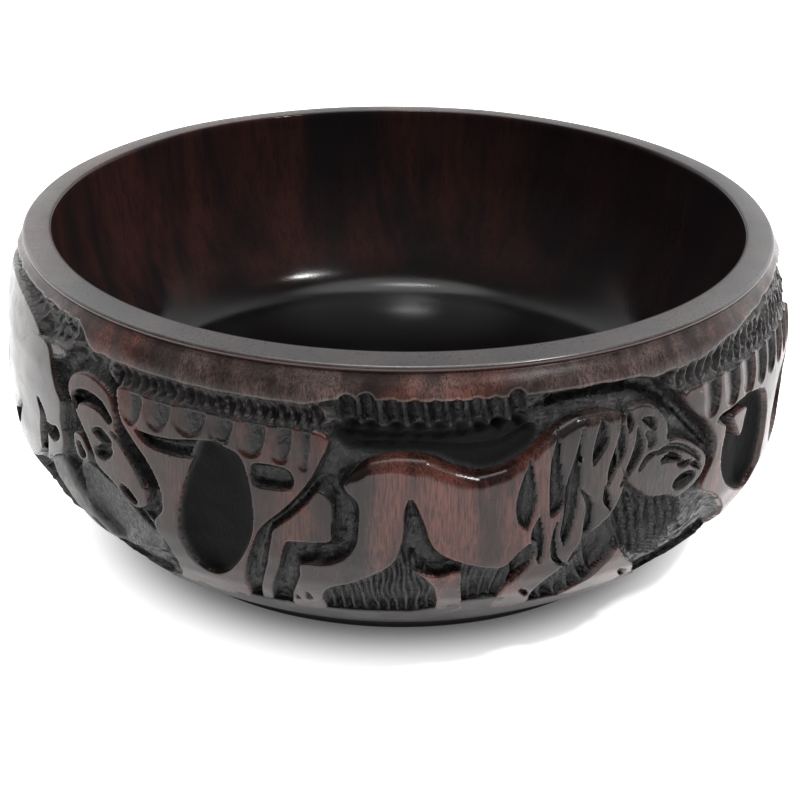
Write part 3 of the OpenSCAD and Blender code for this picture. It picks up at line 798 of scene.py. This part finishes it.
def ground_depth(a, z):
    """Depth of the cut ground in mm, how bare the wood is with painted shade added in the deepest hollows, and where
    it lies hidden under the skin.
    """
    # chisel facets 2.6 by 3.4 mm, slow waves, and small chips 0.9 by 1.3 mm
    rough = GROUND_LEVEL + 0.4 * facets(a, z, 2.6, 3.4) + 0.4 * waves(a, z, 17)
    rough = rough + 0.1 * facets(a + 40, z, 0.9, 1.3)
    depth, bare = rough, np.ones_like(a)
    from_skin = skin_distance(a, z)
    # behind the lion's back the ground starts as low as the rolled back ends
    rise = z - np.interp(a, back_line[:, 0], back_line[:, 1])
    dip = step(rise, -4, -1) * (1 - step(rise, 2, 8)) * (1 - step(a, 27, 31))
    edge = GROUND_EDGE + shoulder(a, HIGH_ABOVE) * dip
    reach = quarter(from_skin / GROUND_SIDE)
    for kind, deep, *rest in ground_list:
        path = np.asarray(rest[-1], float)
        if path[:, 0].max() < a.min() - 4 or path[:, 0].min() > a.max() + 4:
            continue
        if kind == "gouge":
            depth = depth + scoop(stroke(a, z, path)[1], deep)
            continue
        s = inside(a, z, path)
        share = step(s, -0.6, 1.2)  # a place fades in over about 2 mm at its outline
        if kind == "smooth":
            cut = edge + (deep - edge) * quarter(s / rest[0]) + 0.12 * waves(a, z, 9)
            reach = np.maximum(reach, share)
            # painted shade: a smooth hollow deeper than 5 mm is pushed past bare wood towards black
            bare = bare + PAINTED_SHADE * share * step(deep, *PAINTED_SHADE_FROM)
        elif kind == "swell":
            up = quarter(s / rest[0])
            cut = depth + (deep - depth) * up
            reach = np.maximum(reach, share)
            bare = bare - HANDLED * step(up, 0.4, 0.9)
        elif kind == "flutes":
            (rib, valley), (width, slant) = deep, rest[0]
            turn = (a * MM_PER_DEG + slant * z + 0.8 * waves(a, z, 13)) / width
            across = np.abs(np.mod(turn, 1) - 0.5) * 2
            cut = valley - (valley - rib) * across**2 + 0.12 * facets(a, z, 1.4, 4)
        else:
            size, width, height, tilt = rest[0]
            chips = facets(a + tilt * z / MM_PER_DEG, z, width, height)
            cut = deep + size * chips
            bare = bare - HANDLED * share
        depth = depth + share * (cut - depth)
    return np.clip(edge + (depth - edge) * reach, LEAST_GROUND, BACK), bare, from_skin < -HEM


def skin_band(name, low_z, high_z, gap, size):
    """A whole ring of turned skin with one cut edge. Its two ends meet at the back."""
    a, z = cell_grid(-180, 180, low_z, high_z, size)
    a, z = snapped(a, z, gap, size)
    s = gap(a, z)
    depth = np.clip(profile(s) + 0.1 * waves(a, z, 40) + 0.03 * waves(a, z, 11), SHALLOWEST, DEEPEST)
    keep = (s[:-1, :-1] > -HEM) | (s[1:, 1:] > -HEM)
    return wall_block(name, a, z, depth, keep, BACK, step(-s, *BARE_EDGE))


# %% [markdown]
# ### Making the skin and the ground
# The band and the foot of the wall are whole rings. The ground is cut into seven pieces round the
# bowl, so that none is too heavy, and it runs on a little under the skin so that no gap opens.

# %% The two rings of skin
collar = skin_band("collar", 81, WALL_TOP, collar_inside, 0.45)
foot_of_wall = skin_band("foot_of_wall", 2.3, 27, base_inside, 0.6)

# %% Ground pieces
SECTOR_EDGES = [-180, -130, -88, -51, 57, 92, 136, 180]
GROUND_LOW, GROUND_HIGH = 10, 90.2  # the ground runs on under the foot of the wall and the band, mm
FRONT_GRID, BACK_GRID = 0.46, 0.7  # cells in mm: finer where the bowl is looked at most
grounds = []
for number, (low, high) in enumerate(zip(SECTOR_EDGES[:-1], SECTOR_EDGES[1:])):
    in_front = low >= SECTOR_EDGES[2] and high <= SECTOR_EDGES[5]
    a, z = cell_grid(low, high, GROUND_LOW, GROUND_HIGH, FRONT_GRID if in_front else BACK_GRID)
    # bare also carries the painted shade of the deepest hollows into the point number cut
    depth, bare, hidden = ground_depth(a, z)
    keep = ~(hidden[:-1, :-1] & hidden[1:, 1:])
    grounds.append(wall_block(f"carved_ground_{number + 1}", a, z, depth, keep, GROUND_BACK, bare))

# %% [markdown]
# ## Turned parts
# The inside, the lip, the ring foot and the flat underneath never met the gouge. Each is a closed
# profile spun round the axis, a little out of true because the wood has moved since. The profiles
# stop a twentieth of a millimetre short of the axis, so that the mesh stays all quads.

# %% Spun pieces


def spun(name, loop, count=720, bend=0.12):
    """A closed profile [r, z] in mm spun round the axis. bend is how far in mm the wide part is out of true."""
    loop = np.asarray(loop, float)
    turn = np.linspace(0, 2 * np.pi, count, endpoint=False)[:, None]
    wobble = bend * (np.sin(3 * turn + 1) + 0.6 * np.sin(7 * turn) + 0.4 * np.sin(13 * turn + 2))
    r = loop[:, 0] + wobble * (loop[:, 0] > 20)
    z = loop[:, 1] + 0.5 * wobble * (loop[:, 1] > 80)
    points = np.stack([r * np.sin(turn), -r * np.cos(turn), z + 0 * turn], -1).reshape(-1, 3) * MM
    size = len(loop)
    index = np.arange(count * size).reshape(count, size)
    one, two = index, np.roll(index, -1, 0)
    faces = np.stack([one, two, np.roll(two, -1, 1), np.roll(one, -1, 1)], -1).reshape(-1, 4)
    return make_mesh(name, points, faces, {"cut": np.zeros(len(points))})


def rounded(points, radius, steps=6):
    """The same closed profile with every corner replaced by a curve that starts radius mm before it."""
    p = np.asarray(points, float)
    out = []
    for before, corner, after in zip(np.roll(p, 1, 0), p, np.roll(p, -1, 0)):
        to, away = before - corner, after - corner
        reach = min(radius, 0.45 * np.hypot(*to), 0.45 * np.hypot(*away))
        start, end = corner + to / np.hypot(*to) * reach, corner + away / np.hypot(*away) * reach
        for t in np.linspace(0, 1, steps):
            out.append((1 - t) ** 2 * start + 2 * t * (1 - t) * corner + t * t * end)
    return out


bowl_curve = curve([
    [101, 94.1], [100.55, 94.3], [100.2, 94.2], [99.95, 93.8], [99.7, 92.6], [99.3, 89], [98.2, 82],
    [96.1, 72], [93, 62.6],
    [89.4, 54], [85.9, 47.4], [82.6, 42.8], [78.6, 39.6], [73, 37.4], [66, 36], [56, 34.6], [42, 32.8],
    [28, 31.2], [12, 30.3], [0.05, 30],
], False, 8)
under_skin = [[0.05, 26], [60, 30], [76, 34], [86, 44], [93, 58], [98, 80], [101.4, 91], [102, 93.6]]
bowl_inside = spun("bowl_inside", np.concatenate([bowl_curve, under_skin]), 600)
top_edge = rounded([[100.5, 91.2], [106.6, 91.2], [107.9, 91.9], [108.3, 92.8], [107.7, 93.5], [100.5, 94.4]], 0.5)
lip = spun("lip", top_edge)
ring_foot = spun("ring_foot", rounded([[61.5, 0], [75.4, 0], [76.6, 0.9], [76.7, 2.8],
    [61.2, 2.8]], 0.5), 480, 0.05)
underside = spun("underside", [[0.05, 2.0], [66, 2.0], [80, 4.0], [80, 8], [0.05, 8]], 240, 0.02)

# %% [markdown]
# ## Wood
# African blackwood is nearly black with brown and red streaks. Polished, it reflects the white
# room like a dark varnished table, so it looks grey-brown rather than black. Where the gouge has
# been it is matt and dusty, and the same wood looks black. The number cut says which is where.

# %% Nodes
# a name for each kind of node: its type, its sockets in the order they are given, its settings, its output
NODES = {
    "cut": ("Attribute", (), {"attribute_name": "cut"}, "Fac"),
    "place": ("TexCoord", (), {}, "Object"),
    "direction": ("TexCoord", (), {}, "Generated"),
    "x": ("SeparateXYZ", (0,), {}, "X"),
    "y": ("SeparateXYZ", (0,), {}, "Y"),
    "z": ("SeparateXYZ", (0,), {}, "Z"),
    "noise": ("TexNoise", ("Vector", "Scale", "Detail", "Roughness", "Distortion"), {}, "Fac"),
    "ramp": ("MapRange", range(5), {"interpolation_type": "SMOOTHSTEP"}, 0),
    "blend": ("Mix", (0, 6, 7), {"data_type": "RGBA"}, 2),
    "mix": ("Mix", (0, 2, 3), {}, 0),
    "times": ("Math", (0, 1), {"operation": "MULTIPLY"}, 0),
    "plus": ("Math", (0, 1), {"operation": "ADD"}, 0),
    "times_plus": ("Math", (0, 1, 2), {"operation": "MULTIPLY_ADD"}, 0),
    "without_sign": ("Math", (0,), {"operation": "ABSOLUTE"}, 0),
    "stretch": ("VectorMath", (0, 1), {"operation": "MULTIPLY"}, 0),
    "along": ("VectorMath", (0, 1), {"operation": "DOT_PRODUCT"}, "Value"),
    "length": ("VectorMath", (0,), {"operation": "LENGTH"}, "Value"),
    "bump": ("Bump", ("Strength", "Distance", "Height", "Normal"), {}, 0),
}


def linear(hexcode):
    """sRGB hex to linear colour: c / 12.92 below 0.04045, else ((c + 0.055) / 1.055) ^ 2.4."""
    c = np.array([int(hexcode[i : i + 2], 16) / 255 for i in (1, 3, 5)])
    c = np.where(c <= 0.04045, c / 12.92, ((c + 0.055) / 1.055) ** 2.4)
    return (*c, 1.0)


def fill(node, inputs):
    """Sets a node's sockets; one whose value is another node's socket is linked to it."""
    for socket, value in inputs.items():
        if isinstance(value, bpy.types.NodeSocket):
            node.id_data.links.new(value, node.inputs[socket])
        else:
            node.inputs[socket].default_value = value


def add(tree, kind, *values):
    """Adds a node of a kind in NODES with its settings and links, and gives its output."""
    node_type, sockets, settings, output = NODES[kind]
    node = tree.nodes.new("ShaderNode" + node_type)
    for key, value in settings.items():
        setattr(node, key, value)
    fill(node, dict(zip(sockets, values)))
    return node.outputs[output]


def new_material(name):
    """An empty material: itself, what adds a node to it, object coordinates and its shader."""
    material = bpy.data.materials.new(name)
    material.use_nodes = True
    put = partial(add, material.node_tree)
    return material, put, put("place"), material.node_tree.nodes["Principled BSDF"]


print(f"{len(NODES)} kinds of node")

# %% [markdown]
# ### Polished skin and gouged ground
# African blackwood, carved and waxed. Its pores are a few tenths of a millimetre wide and run up
# the wall, so the finest streaks are noise drawn out along the height; they are drawn about twice
# as coarse as life so that they show. The brown and red patches are centimetres wide. On the skin
# the wax gives a soft gloss, and on the cut part the polish is gone and short tool scratches take
# over. A hand-rubbed back shines more, and the deepest hollows are painted dark, as painted shade,
# and quite dull.

# %% Carved blackwood
WOOD_IOR = 1.5
CARVED_GLOW = 0.3  # waxed wood reflects a little less than a bare varnish
PORES, BANDS, CLOUDS, PATCHES = 2400, 170, 75, 26  # pattern cells per metre: 0.4, 6, 13 and 38 mm
DUST, SCRATCHES = 700, 900  # 1.4 and 1.1 mm


def carved_wood(name, brown, red, black, red_share, polish):
    """The point number cut mixes rubbed skin at -1, waxed skin at 0, gouged at 1 and painted shade, near black, in
    the deepest hollows at 1.6.
    """
    material, put, where, shader = new_material(name)
    cut = put("cut")
    fibres = put("noise", put("stretch", where, (1, 1, 0.05)), PORES, 3, 0.7)
    bands = put("noise", put("stretch", where, (1, 1, 0.12)), BANDS, 3, 0.6)
    patches = put("noise", put("stretch", where, (1, 1, 0.45)), PATCHES, 2, 0.5, 0.4)
    clouds = put("noise", put("stretch", where, (1, 1, 0.6)), CLOUDS, 3, 0.6, 0.3)
    skin = put("blend", put("ramp", patches, 0.62 - red_share, 0.8 - red_share), linear(brown), linear(red))
    streaks = ((clouds, 0.42, 0.64, 0.7), (bands, 0.35, 0.65, 0.65), (fibres, 0.42, 0.64, 0.75))
    for pattern, low, high, share in streaks:
        skin = put("blend", put("ramp", pattern, low, high, 0.0, share), skin, linear(black))
    dust = put("noise", where, DUST, 3, 0.6)
    ground = put("blend", put("ramp", dust, 0.45, 0.75, 0.0, 0.6), linear(black), linear("#1d1b1a"))
    # painted shade: a cut number above 1 turns the colour towards near black #040404 in the deepest hollows
    hollow = put("ramp", cut, 1.0, 1.6)
    colour = put("blend", hollow, put("blend", cut, skin, ground), linear("#040404"))
    shine = put("ramp", put("noise", where, 60, 3, 0.6), 0.3, 0.7, polish - 0.06, polish + 0.1)
    rough = put("mix", cut, shine, put("ramp", dust, 0.35, 0.65, 0.22, 0.55))
    rough = put("times", put("mix", hollow, rough, 1.0), put("ramp", cut, -1.0, 0.0, 0.6, 1.0))
    fine = put("bump", 0.25, 0.00012, fibres)
    scratch = put("noise", put("stretch", where, (1, 1, 0.5)), SCRATCHES, 4, 0.65)
    rugged = put("bump", 0.9, 0.0006, put("times", scratch, put("ramp", cut, 0, 1)), fine)
    fill(shader, {"Base Color": colour, "Roughness": rough, "Normal": rugged})
    fill(shader, {"Specular IOR Level": CARVED_GLOW, "IOR": WOOD_IOR})
    return material


figure_wood = carved_wood("blackwood_carved_then_waxed", "#433632", "#5a352e", "#050404", 0.16, 0.23)
# painted shade: a darker copy of the carved wood, a little redder, for the buffalo on the left and the haunch
painted_shade_wood = carved_wood("blackwood_carved_shaded", "#33221c", "#522b23", "#030202", 0.24, 0.25)
band_wood = carved_wood("blackwood_turned_band", "#5a4a46", "#6c4036", "#0a0808", 0.12, 0.3)
ground_wood = carved_wood("blackwood_gouged_ground", "#443f3e", "#483b37", "#080808", 0.05, 0.4)
# painted shade: the foot of the wall takes a darker copy of the wood, for the shade low down by the paper
base_wood = carved_wood("blackwood_turned_underside", "#2a2625", "#33211e", "#0e0c0c", 0.1, 0.4)
print("5 carved finishes")

# %% [markdown]
# ### Inside, lip and foot
# The same wood, turned and sanded. The inside was polished to a deep gloss: its brown and red
# streaks run up the wall and stop at the turn of the floor, where the grain is seen end on and the
# wood is painted almost black, partly for the end grain and partly as painted shade. The lip is grey,
# with dark pores, and its side is painted a dark red-brown: the wood's red, darkened as painted shade.
# The foot was left plain. Warm streaks are stronger on one side, where the tree's heartwood was.

# %% Turned blackwood
HEARTWOOD = (-0.643, 0.766, 0)  # the way from the bowl's axis to the warmest wood
STREAKS, THIN_STREAKS, TURNED_PORES = 45, 420, 1600  # cells per metre: 22, 2.4 and 0.6 mm
# cells per metre: the ragged top of the painted shade under a height, and the dark specks
RAGGED_EDGE, SPECKS = 260, 1300


def streaked_wood(name, dark, warm, polish, streaks, glow, below=None):
    """Streaks along the height. below is (start, end, colour, ragged, specks): another colour under a height in m."""
    material, put, where, shader = new_material(name)
    wide = put("noise", put("stretch", where, (1, 1, 0.1)), STREAKS, 3, 0.55, 0.3)
    thin = put("noise", put("stretch", where, (1, 1, 0.03)), THIN_STREAKS, 3, 0.6)
    fibres = put("noise", put("stretch", where, (1, 1, 0.03)), TURNED_PORES, 2, 0.6)
    toward = put("ramp", put("along", where, HEARTWOOD), 0.0, 0.09, 0.3, 1.0)
    share = put("times", put("times", put("ramp", wide, 0.36, 0.62), streaks), toward)
    colour = put("blend", share, linear(dark), linear(warm))
    colour = put("blend", put("ramp", thin, 0.4, 0.7, 0.0, 0.5), colour, linear(dark))
    colour = put("blend", put("ramp", fibres, 0.5, 0.75, 0.0, 0.4), colour, linear("#0d0b0b"))
    # below paints a darker colour under a height: on the inside floor partly end grain and partly painted shade, on
    # the lip's side painted shade over the wood's red
    if below:
        start, end, other, ragged, specks = below
        height = put("times_plus", put("noise", where, RAGGED_EDGE, 3, 0.6), ragged, put("z", where))
        dots = put("ramp", put("noise", where, SPECKS, 2, 0.6), 0.56, 0.7, 0.0, specks)
        colour = put("blend", dots, colour, linear("#0e0d0d"))
        colour = put("blend", put("ramp", height, start, end), colour, linear(other))
    rough = put("ramp", put("noise", where, 40, 3, 0.6), 0.3, 0.7, polish - 0.04, polish + 0.06)
    fill(shader, {"Base Color": colour, "Roughness": rough, "Normal": put("bump", 0.15, 0.0001, fibres)})
    fill(shader, {"Specular IOR Level": glow, "IOR": WOOD_IOR})
    return material


# painted shade: the inside floor turns almost black from 52 mm down to 38 mm, partly for its end grain
floor_turn = (0.052, 0.038, "#080707", 0.0, 0.0)
# painted shade: under 93.1 to 93.5 mm the lip's side turns a dark red-brown with a ragged top edge; dark specks lie
# on the rest of the lip
lip_side = (0.0935, 0.0931, "#2a1512", 0.0006, 0.8)
inside_wood = streaked_wood("blackwood_polished_inside", "#1a1617", "#37211e", 0.15, 0.9, 0.16, floor_turn)
lip_wood = streaked_wood("blackwood_lip_with_painted_shade_side", "#353334", "#544846", 0.28, 1.0, 0.5, lip_side)
foot_wood = streaked_wood("blackwood_plain_foot", "#1d1b1a", "#2a2220", 0.5, 0.5, 0.3)
print("3 turned finishes")

# %% Wood on every piece
finishes = {piece: figure_wood for piece in figures.values()}
# the pieces that take the painted shade copy of the carved wood
in_shade = ("buffalo_left", "buffalo_left_head", "buffalo_left_ear", "haunch")
finishes.update({figures[name]: painted_shade_wood for name in in_shade})
finishes.update({piece: ground_wood for piece in grounds})
finishes.update({collar: band_wood, foot_of_wall: base_wood, bowl_inside: inside_wood, lip: lip_wood})
finishes.update({ring_foot: foot_wood, underside: foot_wood})
for piece, material in finishes.items():
    piece.data.materials.append(material)
print(f"{len(finishes)} pieces have their wood")

# %% [markdown]
# ## What stands for what
# Each figure takes the place of its own part of the model. The rest of the skin and the ground
# share the wall and the floor of the block between them.

# %% Places in the frame
for name, piece in figures.items():
    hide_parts("bowl_wall" if name in plates else name)
turned = ((bowl_inside, ("bowl_wall", "bowl_floor"), "dark_wood"), (underside, ("bowl_floor",), "dark_wood"),
          (lip, ("rim_lip",), "lip_wood"), (collar, ("collar_band",), "polished_wood"),
          (foot_of_wall, ("base_band",), "polished_wood"), (ring_foot, ("foot_ring",), "foot_wood"))
for piece, nodes, slot in turned:
    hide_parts(*nodes)
for piece in grounds:
    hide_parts("bowl_wall")
for piece in finishes:
    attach(piece, "root")

# %% [markdown]
# ## Floor, light and camera
# The bowl stands on white paper in a white room. The light comes from overhead, from behind and
# from the sides at the back; the room in front is dim, so the dark wood keeps its colour. Two small
# lamps give the bright line along the lion's back and the long pale shapes inside. The paper is lit
# from below everywhere but round the foot, where the bowl's shadow falls.

# %% Studio
DIM_WALL, FAR_WALL, SIDE_WALLS, CEILING = 0.28, 0.42, 1.5, 5
REACH = 4.0  # half the side of the paper, m
SHADOW_FROM, SHADOW_TO = 0.074, 0.104  # radii between which the paper turns bright, m
corners = [(-REACH, -REACH, 0), (REACH, -REACH, 0), (REACH, REACH, 0), (-REACH, REACH, 0)]
floor_mesh = bpy.data.meshes.new("floor")
floor_mesh.from_pydata(corners, [], [(0, 1, 2, 3)])
floor = bpy.data.objects.new("floor", floor_mesh)
bpy.context.scene.collection.objects.link(floor)
floor_paint, put, where, shader = new_material("white_paper")
paper = put("blend", put("noise", where, 900, 2, 0.5), linear("#f4f4f4"), linear("#fafafa"))
lit = put("ramp", put("length", where), SHADOW_FROM, SHADOW_TO, 0.1, 1.1)
fill(shader, {"Base Color": paper, "Roughness": 0.9, "Specular IOR Level": 0.1})
fill(shader, {"Emission Color": paper, "Emission Strength": lit})
floor_mesh.materials.append(floor_paint)

world = bpy.data.worlds.new("white_room")
world.use_nodes = True
put = partial(add, world.node_tree)
way = put("direction")
up = put("z", way)
back = put("y", way)
low_wall = put("ramp", up, 0.1, 0.75, 0.02, DIM_WALL)
overhead = put("ramp", up, 0.92, 0.975, 0.0, CEILING)
behind = put("ramp", back, 0.0, 0.8, 0.0, FAR_WALL)
sides = put("ramp", put("without_sign", put("x", way)), 0.08, 0.4, 0.0, SIDE_WALLS)
brightness = put("times", sides, put("ramp", back, -0.1, 0.5))
for glow in (low_wall, overhead, behind):
    brightness = put("plus", brightness, glow)
fill(world.node_tree.nodes["Background"], {"Strength": brightness, "Color": (1, 1, 1, 1)})
bpy.context.scene.world = world
bpy.context.scene.view_settings.view_transform = "Standard"


def soft_light(name, place, aim, size, watts):
    """A square panel of light at place, turned to aim; size in m."""
    lamp = bpy.data.lights.new(name, "AREA")
    lamp.size, lamp.energy = size, watts
    panel = bpy.data.objects.new(name, lamp)
    panel.location = place
    panel.rotation_euler = (Vector(aim) - Vector(place)).to_track_quat("-Z", "Y").to_euler()
    bpy.context.scene.collection.objects.link(panel)
    return panel


soft_light("lamp", (0.62, -0.46, 1.08), (0, 0, 0.05), 0.09, 8)
soft_light("second_lamp", (-0.04, 0.06, 1.4), (0, 0, 0.05), 0.1, 3)
print("paper, white room and two lamps")

# %% [markdown]
# ### The camera
# It looks down at the bowl from the front with a long lens, and was held a little askew.

# %% Camera
EYE, AIM, ROLL = (0, -0.609, 0.3155), (0.001, 0, 0.0347), np.radians(0.78)
camera_data = bpy.data.cameras.new("camera")
camera_data.lens, camera_data.sensor_width = 100, 36
camera_data.clip_start = 0.01
camera = bpy.data.objects.new("camera", camera_data)
camera.location = EYE
facing = (Vector(AIM) - Vector(EYE)).to_track_quat("-Z", "Y").to_matrix()
camera.rotation_euler = (facing @ Matrix.Rotation(ROLL, 3, "Z")).to_euler()
bpy.context.scene.collection.objects.link(camera)
bpy.context.scene.camera = camera
print(f"camera {np.linalg.norm(Vector(EYE) - Vector(AIM)):.2f} m away")
